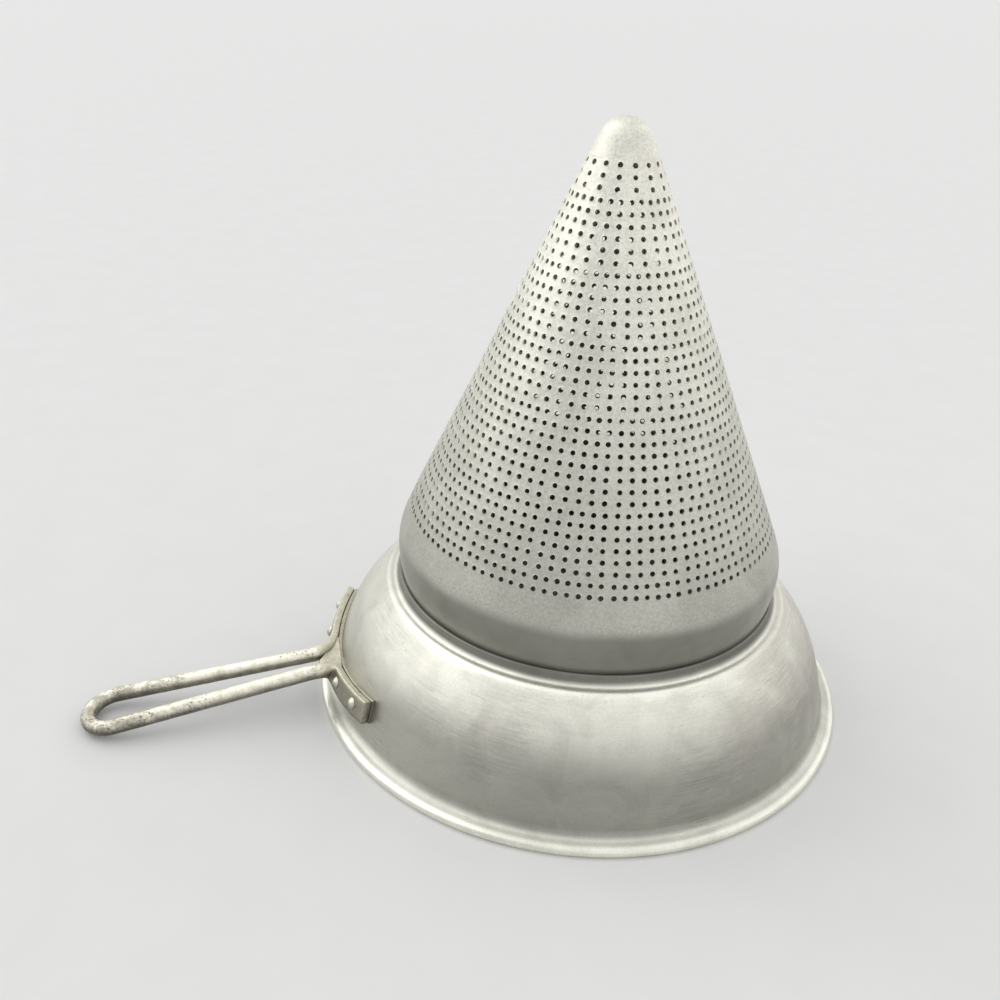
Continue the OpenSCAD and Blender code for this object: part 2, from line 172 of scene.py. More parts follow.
class StageSettings(bpy.types.PropertyGroup):
    """Where the camera stands"""

    distance: length("Distance", "Camera from the axis", 437.77)
    height: length("Height", "Camera above the rest plane", 323.13)
    azimuth: angle("Azimuth", "Camera's place round the axis from -Y", -21)
    pan: angle("Pan", "Camera's turn away from the axis", 5.63)
    tilt: angle("Tilt", "Camera's tilt down", 27.61)
    roll: angle("Roll", "Camera's roll", -2.94)
    lens: bpy.props.FloatProperty(
        name="Lens", description="Focal length on a 36 mm sensor", default=37.29,
        unit="CAMERA")


# Section curves, in the plane of radius and height


def vec(*parts):
    return np.array(parts)


def direction(a):
    """Unit vector (r, z) at an angle from level."""
    return vec(cos(a), sin(a))


def normal(slope):
    """Outward unit normal (r, z) of a wall of a given slope from level."""
    return direction(pi / 2 - slope)


def arc(centre, radius, start, end, step=4.0):
    """Points of an arc in section, one about every step degrees."""
    count = max(2, ceil(abs(degrees(end - start)) / step))
    return [centre + radius * direction(start + (end - start) * i / count) for i in range(count + 1)]


class Sections:
    """Section curves of the cone and bowl, worked out from the settings."""

    def __init__(self, settings):
        self.cone, self.bowl, self.handle = settings.cone, settings.bowl, settings.handle
        self.solve_bowl()
        self.solve_cone()
        self.foot_point = self.lower_c + self.bowl.lower_dome * normal(self.handle.foot_slope)

    def solve_bowl(self):
        """Centres of the bowl's curves, from the roll on the rest plane to the collar."""
        b = self.bowl
        roll = b.roll / 2
        upper = b.upper_dome * (normal(b.middle_slope) - normal(b.upper_slope))
        lower = b.lower_dome * (normal(b.lower_slope) - normal(b.middle_slope))
        flare = b.flare * (normal(b.lower_slope) - normal(b.flange_slope))
        wall = (b.upper_length * direction(-b.upper_slope) + upper + lower + flare
                + b.flange * direction(-b.flange_slope))
        crest_end_z = roll - b.rest_wear + roll * normal(b.flange_slope)[1] - wall[1]
        crest_z = crest_end_z + b.crest_round * (1 - normal(b.upper_slope)[1])
        self.collar_r = self.cone.seat_radius + b.gap
        self.collar_top = crest_z + b.collar_height
        self.collar_c = vec(self.collar_r + b.sheet + b.collar_round, crest_z + b.collar_round)
        self.crest_c = vec(self.collar_c[0], crest_z - b.crest_round)
        crest_end = self.crest_c + b.crest_round * normal(b.upper_slope)
        upper_end = crest_end + b.upper_length * direction(-b.upper_slope)
        self.upper_c = upper_end - b.upper_dome * normal(b.upper_slope)
        middle_end = upper_end + upper
        self.lower_c = middle_end - b.lower_dome * normal(b.middle_slope)
        self.flare_c = middle_end + lower + b.flare * normal(b.lower_slope)
        self.roll_c = crest_end + wall - roll * normal(b.flange_slope)

    def solve_cone(self):
        """Centres of the cone's curves, from its seat in the collar to the tip."""
        c = self.cone
        both = c.neck_round + c.neck_hollow
        widest = c.seat_radius + c.shoulder_bulge
        self.hollow_c = vec(c.seat_radius + c.neck_hollow, self.collar_top + self.bowl.gap)
        self.neck_turn = acos((self.hollow_c[0] - widest + c.neck_round) / both)
        widest_z = self.hollow_c[1] + both * sin(self.neck_turn)
        self.neck_c = vec(widest - c.neck_round, widest_z)
        self.shoulder_c = vec(widest - c.shoulder_round, widest_z)
        top = self.shoulder_c + c.shoulder_round * direction(c.half_angle)
        self.tip_z = top[1] + (top[0] * cos(c.half_angle) - c.tip_radius) / sin(c.half_angle)
        self.apex = top[1] + top[0] / tan(c.half_angle)

    def cone_below(self, e):
        """Face of the cone at depth e, from the shoulder's top to the skirt's edge."""
        c, b = self.cone, self.bowl
        skirt_r = b.crest_round - b.sheet - b.gap
        skirt = (self.crest_c + skirt_r * normal(b.upper_slope)
                 + c.skirt * direction(-b.upper_slope) - e * normal(b.upper_slope))
        return (arc(self.shoulder_c, c.shoulder_round - e, c.half_angle, 0, step=1.5)
                + arc(self.neck_c, c.neck_round - e, 0, -self.neck_turn, step=1.5)[1:]
                + arc(self.hollow_c, c.neck_hollow + e, pi - self.neck_turn, pi)[1:]
                + arc(self.collar_c, b.collar_round + b.sheet + b.gap + e, pi, 1.5 * pi, step=9)
                + arc(self.crest_c, skirt_r - e, pi / 2, pi / 2 - b.upper_slope, step=9)[1:]
                + [skirt])

    def cone_tip(self, e):
        """Face of the tip at depth e, from the axis down to the straight wall."""
        c = self.cone
        return arc(vec(0, self.tip_z), c.tip_radius - e, pi / 2, c.half_angle, step=3)

    def bowl_face(self, e):
        """Face of the bowl at depth e, from the collar down to the roll's edge."""
        b = self.bowl
        up, mid, low, flat = (pi / 2 - s for s in (
            b.upper_slope, b.middle_slope, b.lower_slope, b.flange_slope))
        return (arc(self.collar_c, b.collar_round + e, pi, 1.5 * pi, step=6)
                + arc(self.crest_c, b.crest_round - e, pi / 2, up)[1:]
                + arc(self.upper_c, b.upper_dome - e, up, mid, step=1)
                + arc(self.lower_c, b.lower_dome - e, mid, low, step=1)[1:]
                + arc(self.flare_c, b.flare + e, pi + low, pi + flat, step=5)[1:]
                + arc(self.roll_c, b.roll / 2 - e, flat, flat - b.roll_turn, step=10))

    def bowl_outline(self):
        """Closed outline of the bowl's sheet, its lip rounded outside."""
        lip = 0.8 * MM
        corner = vec(self.collar_r + self.bowl.sheet - lip, self.collar_top - lip)
        return (arc(corner, lip, pi / 2, 0, step=15) + self.bowl_face(0)
                + self.bowl_face(self.bowl.sheet)[::-1]
                + [vec(self.collar_r, self.collar_top)])


# Meshes

# Points closer than this are joined
WELD = 0.0001 * MM
# The waver of spun sheet fades out this close to the axis
AXIS_FADE = 20 * MM


def add_object(name, data):
    """Adds a mesh, lamp or camera to the scene."""
    added = bpy.data.objects.new(name, data)
    bpy.context.collection.objects.link(added)
    return added


def make_piece(name, points, faces, replaced, material, smooth_angle=50):
    """Adds a mesh piece that stands for a node, shaded smooth up to an angle."""
    mesh = bpy.data.meshes.new(name)
    mesh.from_pydata([tuple(p) for p in points], [], faces)
    shell = bmesh.new()
    shell.from_mesh(mesh)
    bmesh.ops.remove_doubles(shell, verts=shell.verts, dist=WELD)
    bmesh.ops.recalc_face_normals(shell, faces=shell.faces)
    shell.to_mesh(mesh)
    shell.free()
    mesh.materials.append(material)
    mesh.shade_smooth()
    mesh.set_sharp_from_angle(angle=radians(smooth_angle))
    piece = add_object(name, mesh)
    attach(piece, BODY)
    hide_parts(replaced)


def ring_faces(rings, sides, closed=False):
    """Quads between rings of points, and from the last ring to the first if closed."""
    faces = []
    for i in range(rings if closed else rings - 1):
        for j in range(sides):
            k, n = (i + 1) % rings, (j + 1) % sides
            faces.append((i * sides + j, i * sides + n, k * sides + n, k * sides + j))
    return faces


def tube_faces(rings, sides):
    """Quads between rings of points, and a face on each end."""
    last = (rings - 1) * sides
    return ring_faces(rings, sides) + [tuple(reversed(range(sides))), tuple(range(last, last + sides))]


def circle(sides):
    """Angles at even steps round a circle."""
    return [tau * i / sides for i in range(sides)]


def turned(outline, sides):
    """Points and faces of a closed outline turned round the axis."""
    points = [(r * cos(a), r * sin(a), z) for r, z in outline for a in circle(sides)]
    return points, ring_faces(len(outline), sides, closed=True)


def unevenness(v, coarse, fine, fine_share, shift=Vector()):
    """Noise of two grain sizes at a place."""
    return noise.noise(v * coarse + shift) + fine_share * noise.noise(v * fine + shift)


def hand_spun(points, amount, seed):
    """Points moved in or out by a slow waver, as sheet spun and used by hand has."""
    shift = Vector((seed, 2.0 * seed, -seed))
    moved = []
    for p in points:
        v = Vector(p)
        flat = Vector((v.x, v.y, 0))
        slow = unevenness(v, coarse=14, fine=34, fine_share=0.5, shift=shift)
        moved.append(v + flat.normalized() * slow * amount * min(1, flat.length / AXIS_FADE))
    return moved


class PunchedWall:
    """Straight wall of the cone with every hole punched and burred."""

    TIER_COLUMNS = (1, 2, 3, 4, 5, 6, 7)
    TIER_ROWS = (3, 6, 6, 6, 8, 6, 2)
    SECTORS = 16
    SIDES = 14
    # Parts that a cell's top and bottom edges are split into: first tier, and others
    TOP_SPLITS, SPLITS = 4, 2
    SEED = 11
    HOLE_SPREAD, BURR_SPREAD = (0.93, 1.04), (0.5, 1.3)
    # Rings round a hole: distance from its edge, and share of the burr's height
    # outside or of the sheet's depth inside
    OUTSIDE = ((0.42 * MM, 0.0), (0.22 * MM, 0.3), (0.08 * MM, 1.0), (0.0, 0.6))
    INSIDE = ((0.0, 0.82), (0.35 * MM, 1.0))
    SAME_ANGLE = 1e-6

    def __init__(self, sections):
        self.s, self.cone, self.sheet = sections, sections.cone, sections.bowl.sheet
        self.points, self.faces = [], []
        self.rng = random.Random(self.SEED)
        a = self.cone.half_angle
        self.sin, self.cos = sin(a), cos(a)
        self.rows = [c for c, n in zip(self.TIER_COLUMNS, self.TIER_ROWS) for _ in range(n)]
        self.first = (sections.apex - sections.tip_z + self.cone.first_row) / self.cos

    def section(self, s, out):
        """(r, z) at slant s from the apex, moved out along the wall's normal."""
        return (s * self.sin + out * self.cos, self.s.apex - s * self.cos + out * self.sin)

    def vertex(self, s, phi, out):
        """Index of a new point of the wall at slant s and angle phi."""
        r, z = self.section(s, out)
        self.points.append((r * sin(phi), -r * cos(phi), z))
        return len(self.points) - 1

    def hole_angles(self, count):
        """Hole angles of one row within its sector, from the sector's middle."""
        step = (tau / self.SECTORS - self.cone.seam) / count
        return [(j - (count - 1) / 2) * step for j in range(count)]

    def edges(self, count):
        """Cell edges of one row within its sector, from the sector's middle."""
        holes = self.hole_angles(count)
        half = pi / self.SECTORS
        return [-half] + [(a + b) / 2 for a, b in zip(holes, holes[1:])] + [half]

    def line(self, row):
        """Angles in a sector at which the boundary above a row has points."""
        angles = {}
        for r in (row - 1, row):
            if 0 <= r < len(self.rows):
                cuts = self.edges(self.rows[r])
                splits = self.TOP_SPLITS if self.rows[r] == 1 else self.SPLITS
                for low, high in zip(cuts, cuts[1:]):
                    for i in range(splits + 1):
                        a = low + (high - low) * i / splits
                        angles.setdefault(round(a, 5), a)
        return sorted(angles.values())

    def boundary(self, row, low, high, middle, out):
        """Indices round a cell, counter-clockwise from outside, with their places."""
        pitch = self.cone.row_pitch
        s = self.first + row * pitch
        bottom, top = ([a for a in self.line(r)
                        if low - self.SAME_ANGLE <= a <= high + self.SAME_ANGLE]
                       for r in (row + 1, row))
        places = ([(s + pitch / 2, a) for a in bottom] + [(s, high)]
                  + [(s - pitch / 2, a) for a in reversed(top)] + [(s, low)])
        return [(self.vertex(q, middle + a, out), q - s, a) for q, a in places]

    def fill(self, ring, edge, flip):
        """Triangles between a hole's ring and its cell's boundary, by their angles."""
        n, m = len(ring), len(edge)
        start = min(range(m), key=lambda j: edge[j][1] % tau)
        edge = edge[start:] + edge[:start]
        turns = [e[1] % tau for e in edge]
        turns.append(turns[0] + tau)
        i = j = 0
        while i < n or j < m:
            ring_next = tau * (i + 1) / n
            if j >= m or (i < n and ring_next <= turns[j + 1]):
                tri = (ring[i % n], edge[j % m][0], ring[(i + 1) % n])
                i += 1
            else:
                tri = (ring[i % n], edge[j % m][0], edge[(j + 1) % m][0])
                j += 1
            self.faces.append(tri[::-1] if flip else tri)

    def cell(self, row, middle, low, high, hole):
        """One punched hole and the patch of wall round it."""
        waver, rng = self.cone.waver, self.rng
        s = self.first + row * self.cone.row_pitch
        reach = s * self.sin
        ds, dv = rng.uniform(-waver, waver), rng.uniform(-waver, waver)
        radius = self.cone.hole / 2 * rng.uniform(*self.HOLE_SPREAD)
        burr = self.cone.burr * rng.uniform(*self.BURR_SPREAD)
        shape = ([(radius + away, burr * share) for away, share in self.OUTSIDE]
                 + [(radius + away, -self.sheet * share) for away, share in self.INSIDE])
        rings = []
        for r, out in shape:
            ring = []
            for a in circle(self.SIDES):
                down, across = ds - r * sin(a), dv + r * cos(a)
                ring.append(self.vertex(s + down, middle + hole + across / reach, out))
            rings.append(ring)
        for a, b in zip(rings, rings[1:]):
            for i in range(self.SIDES):
                k = (i + 1) % self.SIDES
                self.faces.append((a[i], a[k], b[k], b[i]))
        for out, ring, flip in ((0.0, rings[0], False), (-self.sheet, rings[-1], True)):
            edge = [(index, atan2(ds - q, (a - hole) * reach - dv))
                    for index, q, a in self.boundary(row, low, high, middle, out)]
            self.fill(ring, edge, flip)

    def punch(self):
        """Builds every cell of the wall."""
        for row, count in enumerate(self.rows):
            cuts, holes = self.edges(count), self.hole_angles(count)
            for middle in circle(self.SECTORS):
                for low, high, hole in zip(cuts, cuts[1:], holes):
                    self.cell(row, self.cone.turn + middle, low, high, hole)

    def cap(self, row, profile, inner):
        """Turned sheet that carries the wall on from its first or last row."""
        s = self.first + (row - 0.5) * self.cone.row_pitch
        angles = [self.cone.turn + middle + a
                  for middle in circle(self.SECTORS) for a in self.line(row)[:-1]]
        start = len(self.points)
        outline = [self.section(s, 0.0), *profile, *inner[::-1], self.section(s, -self.sheet)]
        for r, z in outline:
            self.points += [(r * sin(a), -r * cos(a), z) for a in angles]
        self.faces += [tuple(start + v for v in face) for face in ring_faces(len(outline), len(angles))]

    def build(self):
        """Points and faces of the whole cone: wall, tip, and all below the wall."""
        s = self.s
        self.punch()
        self.cap(0, s.cone_tip(0)[::-1], s.cone_tip(self.sheet)[::-1])
        self.cap(len(self.rows), s.cone_below(0), s.cone_below(self.sheet))
        return self.points, self.faces


# Feet and path of the rod


def ease(t):
    return t * t * (3 - 2 * t)


def unit(v):
    return v / np.linalg.norm(v)


def turned_z(v, a):
    """Point or direction turned about Z."""
    return vec(v[0] * cos(a) - v[1] * sin(a), v[0] * sin(a) + v[1] * cos(a), v[2])


class Foot:
    """Frame of one side's foot on the bowl's wall, leaned so that its end rises."""

    def __init__(self, sections, side):
        self.h, self.point, self.side = sections.handle, sections.foot_point, side
        self.middle, self.axis, _ = self.level((self.h.foot_start + self.h.foot_end) / 2)

    def level(self, a):
        """Point on the wall, its outward and up directions, before the foot leans."""
        slope = self.h.foot_slope
        return (turned_z((self.point[0], 0, self.point[1]), a),
                turned_z((sin(slope), 0, cos(slope)), a),
                turned_z((-cos(slope), 0, sin(slope)), a))

    def leaned(self, v):
        rise = self.h.feet_rise
        return (v * cos(rise) + np.cross(self.axis, v) * sin(rise)
                + self.axis * np.dot(self.axis, v) * (1 - cos(rise)))

    def placed(self, v):
        return turned_z((v[0], -self.side * v[1], v[2]), pi - self.h.feet_turn)

    def at(self, a):
        """Point on the wall, travel, outward and up directions at angle a of the foot."""
        point, outward, up = self.level(a)
        return (self.placed(self.middle + self.leaned(point - self.middle)),
                self.placed(self.leaned(turned_z((0, 1, 0), a))),
                self.placed(self.leaned(outward)), self.placed(self.leaned(up)))


class HandlePath:
    """Half of the rod, from the end of one foot to the loop's far point."""

    FLAT_FROM = 0.3
    TIP_POWER, FOOT_POWER = 0.3, 0.34
    # Roundings of the foot's end: how far in, in metres, and share of the thickness
    TIPS = ((0.0, 0.80), (0.25 * MM, 0.96), (0.6 * MM, 1.0))
    # How much of that rounding the width takes
    TIP_WIDTH = 0.3
    FOOT_STEPS, BEND_STEPS, LEG_STEPS, LOOP_STEPS = 24, 30, 29, 22

    def __init__(self, sections, side):
        h = sections.handle
        self.h, self.side, self.foot = h, side, Foot(sections, side)
        self.lift = h.strap_thick + sections.bowl.gap + h.foot_thick / 2
        middle = sections.foot_point + self.lift * normal(h.foot_slope)
        self.tongue_x = -middle[0] - h.tongue_length
        self.out = vec(-cos(h.dip), 0, -sin(h.dip))
        self.up = vec(-sin(h.dip), 0, cos(h.dip))
        self.start = vec(-middle[0] - h.root_length, 0, middle[1] - h.root_drop)
        spread, reach = h.leg_spread, h.handle_length / cos(h.dip)
        self.loop = (h.leg_gap * cos(spread) + reach * sin(spread)) / (1 + sin(spread))
        self.loop_at = reach - self.loop
        self.leg = self.loop_at * cos(spread) - h.leg_gap * sin(spread)
        self.along = self.out * cos(spread) + vec(0, side * sin(spread), 0)
        self.base = self.start + vec(0, side * h.leg_gap, 0)
        end, travel, _, self.end_up = self.foot_frame(h.foot_start)
        foot_pull = h.near_pull if side < 0 else h.far_pull
        self.curve = (self.base, self.base - h.leg_pull * self.along, end - foot_pull * travel, end)

    def foot_frame(self, a):
        """Middle, travel, inward and up directions of the foot at angle a."""
        point, travel, outward, up = self.foot.at(a)
        return point + outward * self.lift, travel, -outward, up

    def bend_point(self, t):
        """Place and direction of the root bend at t, from the leg to the foot."""
        p0, p1, p2, p3 = self.curve
        place = (1 - t) ** 3 * p0 + 3 * (1 - t) ** 2 * t * p1 + 3 * (1 - t) * t * t * p2 + t ** 3 * p3
        travel = (1 - t) ** 2 * (p1 - p0) + 2 * (1 - t) * t * (p2 - p1) + t * t * (p3 - p2)
        return place, unit(travel)

    def flattened(self, t):
        """Share of the way from round rod to flat foot at t of the bend."""
        return 0.0 if t < self.FLAT_FROM else ease((t - self.FLAT_FROM) / (1 - self.FLAT_FROM))

    def half_size(self, t, foot_size):
        """Half thickness or half width of the bend at t, from the rod's to the foot's."""
        return (self.h.rod + (foot_size - self.h.rod) * self.flattened(t)) / 2

    def bend_station(self, t):
        place, travel = self.bend_point(t)
        up = self.up + (self.end_up - self.up) * ease(t)
        inward = self.side * unit(np.cross(travel, up))
        return (place, inward, self.side * np.cross(inward, travel),
                self.half_size(t, self.h.foot_thick), self.half_size(t, self.h.foot_wide),
                1 + (self.FOOT_POWER - 1) * self.flattened(t))

    def foot_stations(self):
        """Stations of the foot, its end rounded, up to where the bend begins."""
        h, found = self.h, []
        places = [(h.foot_end - inset / self.foot.point[0], share, self.TIP_POWER)
                  for inset, share in self.TIPS]
        for i in range(1, self.FOOT_STEPS):
            way = i / self.FOOT_STEPS
            places.append((h.foot_end + (h.foot_start - h.foot_end) * way, 1.0,
                           self.TIP_POWER + (self.FOOT_POWER - self.TIP_POWER) * way))
        for a, share, p in places:
            m, _, inward, up = self.foot_frame(a)
            found.append((m, inward, up, h.foot_thick / 2 * share,
                          h.foot_wide / 2 * (1 - (1 - share) * self.TIP_WIDTH), p))
        return found

    def round_station(self, middle, inward):
        return (middle, inward, self.up, self.h.rod / 2, self.h.rod / 2, 1.0)

    def stations(self):
        """(middle, inward, up, half thickness, half width, power) along the rod."""
        spread = self.h.leg_spread
        bend = [self.bend_station(1 - i / self.BEND_STEPS) for i in range(self.BEND_STEPS + 1)]
        inward = self.out * sin(spread) - vec(0, self.side * cos(spread), 0)
        leg = [self.round_station(self.base + self.along * self.leg * i / self.LEG_STEPS,
                                  inward) for i in range(1, self.LEG_STEPS)]
        centre = self.start + self.out * self.loop_at
        loop = []
        for i in range(self.LOOP_STEPS + 1):
            a = (pi / 2 + spread) * (1 - i / self.LOOP_STEPS)
            way = self.out * cos(a) + vec(0, self.side * sin(a), 0)
            loop.append(self.round_station(centre + way * self.loop, -way))
        return self.foot_stations() + bend + leg + loop


def power(x, p):
    """Power of a number that keeps its sign: below 1 it makes a circle squarer."""
    return copysign(abs(x) ** p, x)


# Shader maths


class Value:
    """A socket that can be used in Python sums."""

    def __init__(self, nodes, socket):
        self.nodes, self.socket = nodes, socket

    def __add__(self, other):
        return self.nodes.math("ADD", self, other)

    __radd__ = __add__

    def __sub__(self, other):
        return self.nodes.math("SUBTRACT", self, other)

    def __rsub__(self, other):
        return self.nodes.math("SUBTRACT", other, self)

    def __mul__(self, other):
        return self.nodes.math("MULTIPLY", self, other)

    __rmul__ = __mul__

    def __truediv__(self, other):
        return self.nodes.math("DIVIDE", self, other)

    def __rtruediv__(self, other):
        return self.nodes.math("DIVIDE", other, self)

    def scaled(self, factor):
        """A colour or vector times a number."""
        return self.nodes.node("ShaderNodeVectorMath", {"operation": "SCALE"},
                               {0: self, "Scale": factor})[0]


class Outputs:
    """A node's outputs, by name or number."""

    def __init__(self, nodes, node):
        self.nodes, self.node = nodes, node

    def __getitem__(self, key):
        return Value(self.nodes, self.node.outputs[key])


class Nodes:
    """A node tree that is written as Python expressions."""

    def __init__(self, tree):
        self.tree = tree

    def feed(self, socket, value):
        """Links a value to a socket, or sets a plain number or colour on it."""
        if isinstance(value, Value):
            self.tree.links.new(value.socket, socket)
        else:
            socket.default_value = value

    def node(self, kind, settings=None, inputs=None):
        """Any node: its settings first, then the values or links of its sockets."""
        made = self.tree.nodes.new(kind)
        for key, value in (settings or {}).items():
            setattr(made, key, value)
        for key, value in (inputs or {}).items():
            self.feed(made.inputs[key], value)
        return Outputs(self, made)

    def math(self, operation, *values):
        return self.node("ShaderNodeMath", {"operation": operation}, dict(enumerate(values)))[0]


class Finish(Nodes):
    """A procedural material of the colander."""

    # Direction, seen from above, of the side towards the camera, where the painted shade and highlights
    # are strongest
    FRONT = (-0.36, -0.93)

    def __init__(self, name, metallic):
        self.material = bpy.data.materials.new(name)
        self.material.use_nodes = True
        super().__init__(self.material.node_tree)
        self.shader = self.tree.nodes["Principled BSDF"]
        self.shader.inputs["Metallic"].default_value = metallic
        self.places = self.node("ShaderNodeTexCoord")
        self.object = self.places["Object"]
        split = self.split(self.object)
        self.x, self.y, self.z = split["X"], split["Y"], split["Z"]

    def split(self, vector):
        return self.node("ShaderNodeSeparateXYZ", {}, {0: vector})

    @cached_property
    def up(self):
        """How far the surface faces up, from -1 to 1."""
        return self.split(self.places["Normal"])["Z"]

    @cached_property
    def radius(self):
        """Distance from the axis of the cone and bowl."""
        return self.math("SQRT", self.x * self.x + self.y * self.y)

    @cached_property
    def turn(self):
        """Angle round the axis."""
        return self.math("ARCTAN2", self.y, self.x)

    @cached_property
    def along(self):
        """Place along the section of the sheet, which slopes down and out."""
        return self.z - self.radius

    @cached_property
    def front(self):
        """0 at the sides and back, rising smoothly to 1 on the side towards the camera."""
        x, y = self.FRONT
        return self.step((self.x * x + self.y * y) / self.radius, 0.1, 1)

    def noise(self, scale, detail=3, rough=0.55, warp=0, at=None):
        return self.node("ShaderNodeTexNoise", {}, {
            "Vector": at or self.object, "Scale": scale, "Detail": detail,
            "Roughness": rough, "Distortion": warp})["Fac"]

    def streaks(self, x, y, z=0, detail=3, rough=0.55, warp=0):
        """Noise drawn out along some of its coordinates, which come already scaled."""
        place = self.node("ShaderNodeCombineXYZ", {}, {0: x, 1: y, 2: z})[0]
        return self.noise(1, detail, rough, warp, at=place)

    def cells(self, scale):
        """Distance from the middle of the nearest of many small cells."""
        return self.node("ShaderNodeTexVoronoi", {}, {
            "Vector": self.object, "Scale": scale})["Distance"]

    def step(self, value, low, high, start=0, end=1):
        """Smooth change from start to end while value goes from low to high."""
        return self.node("ShaderNodeMapRange", {"interpolation_type": "SMOOTHSTEP"}, {
            0: value, 1: low, 2: high, 3: start, 4: end})[0]

    def fade(self, value, low, high):
        """1 below low, falling smoothly to 0 above high."""
        return self.step(value, low, high, 1, 0)

    def mix(self, share, a, b):
        """Colour a turned into colour b by a share."""
        a, b = ((*c, 1) if isinstance(c, tuple) else c for c in (a, b))
        return self.node("ShaderNodeMix", {"data_type": "RGBA"}, {0: share, 6: a, 7: b})[2]

    def finish(self, base, roughness, height, bump, depth):
        """Feeds the shader's varying inputs and gives the material."""
        bumped = self.node("ShaderNodeBump", {}, {
            "Strength": bump, "Distance": depth, "Height": height})["Normal"]
        for name, value in (("Base Color", base), ("Roughness", roughness), ("Normal", bumped)):
            self.feed(self.shader.inputs[name], value)
        return self.material


# Finishes, with the heights and radii between which they change

NECK_TOP = (79 * MM, 85 * MM)
SHOULDER = (88 * MM, 115 * MM)
CONE_WALL = (90 * MM, 230 * MM)
COLLAR = (90.3 * MM, 92.4 * MM)
CREST = (95.5 * MM, 98.5 * MM)
BOWL_WALL = (25 * MM, 56 * MM)
FLANGE = (122.2 * MM, 124 * MM)
ROLL = (125.8 * MM, 127.2 * MM)
FEET = (126.5 * MM, 131.5 * MM)
LOOP = (-225 * MM, -180 * MM)

# Colours of stains and pits that no user would change
ROSE, SOOT = (0.60, 0.51, 0.47), (0.27, 0.25, 0.19)
OXIDE, RIVET_PIT = (0.44, 0.42, 0.32), (0.16, 0.15, 0.12)


def shade(rgb, factor):
    return tuple(min(1, c * factor) for c in rgb)


def sheet_marks(f):
    """Dark flecks, short scratches and pale scuffs, each from 0 to 1."""
    fleck = f.fade(f.cells(260), 0.04, 0.13) * f.step(f.noise(45, detail=2), 0.56, 0.68)
    scratch = f.step(f.streaks(f.x * 260, f.y * 40, f.z * 700, detail=2, rough=0.5), 0.70, 0.76)
    rub = f.streaks(f.turn * 110, f.along * 300, detail=2, rough=0.5, warp=0.4)
    scuff = f.step(rub, 0.68, 0.73) * f.step(f.noise(22, detail=2), 0.5, 0.6)
    return fleck, scratch, scuff


def sheet_strokes(f):
    """Fine strokes round the axis in worn patches, from -1, dark, to 1, pale."""
    stroke = f.streaks(f.turn * 9, f.along * 1300, f.x * 25, rough=0.7)
    worn = f.step(f.noise(17, detail=2), 0.47, 0.60)
    return (f.step(stroke, 0.56, 0.64) - f.fade(stroke, 0.36, 0.44)) * worn


def sheet_finish(name, stain_share, lathe_share, zones):
    """Satin spun aluminium: grain, lathe lines, stains, marks and the zones' tones."""
    f = Finish(name, metallic=1)
    clean, stain = tuple(settings().finish.sheet), tuple(settings().finish.stain)
    blotch = f.noise(13, detail=4, warp=0.3)
    smear = f.streaks(f.turn * 3, f.along * 70, detail=4, rough=0.6, warp=0.6)
    cloud = f.noise(48, detail=5, rough=0.6, warp=0.8)
    lathe = f.streaks(f.turn * 0.6, f.along * 900, rough=0.6)
    grain = f.noise(950, rough=0.75)
    dull = f.step(blotch * 0.5 + smear * 0.25 + cloud * 0.25, 0.42, 0.66) * stain_share
    rose_from = f.math("ABSOLUTE", f.noise(9, detail=2) - 0.62)
    base = f.mix(dull, clean, stain)
    base = f.mix(f.fade(rose_from, 0, 0.05) * 0.2, base, ROSE)
    fleck, scratch, scuff = sheet_marks(f)
    tone, rubbed, grained = zones(f)
    tone = (tone * (1 + sheet_strokes(f) * 0.22 * lathe_share)
            * (1 + (f.step(grain, 0.25, 0.75, -0.16, 0.16) + scuff * 0.25) * grained)
            * f.step(cloud, 0.3, 0.7, 1.04, 0.96)
            * (1 + (lathe - 0.5) * 0.2 * lathe_share))
    base = f.mix(fleck * 0.5 + scratch * 0.2, base.scaled(tone), shade(stain, 0.4))
    rough = 0.45 + dull * 0.12 - rubbed * 0.12 + f.step(grain, 0.3, 0.7, -0.05, 0.05)
    height = (lathe * 0.3 * lathe_share + grain * 0.9 * grained - fleck * 1.2
              - scratch * 0.6 + f.noise(120) * 0.8)
    return f.finish(base, rough, height, bump=0.4, depth=0.1 * MM)


def cone_zones(f):
    """Tone, rubbing and grain of the cone: painted shade on the neck, deepest on the front, brightest
    at the tip.
    """
    ragged = (f.noise(30) - 0.5) * (3 * MM)
    neck = f.fade(f.z + ragged, *NECK_TOP)
    wall = f.step(f.z, *SHOULDER, 0.88, 1) * f.step(f.z, *CONE_WALL, 0.80, 1.12)
    # Painted shade: the neck is darkened for the dark reflection it shows, most on the front
    dark = 0.60 - 0.23 * f.front
    return wall + (dark - wall) * neck, neck * 0.3, 1 - neck * 0.75


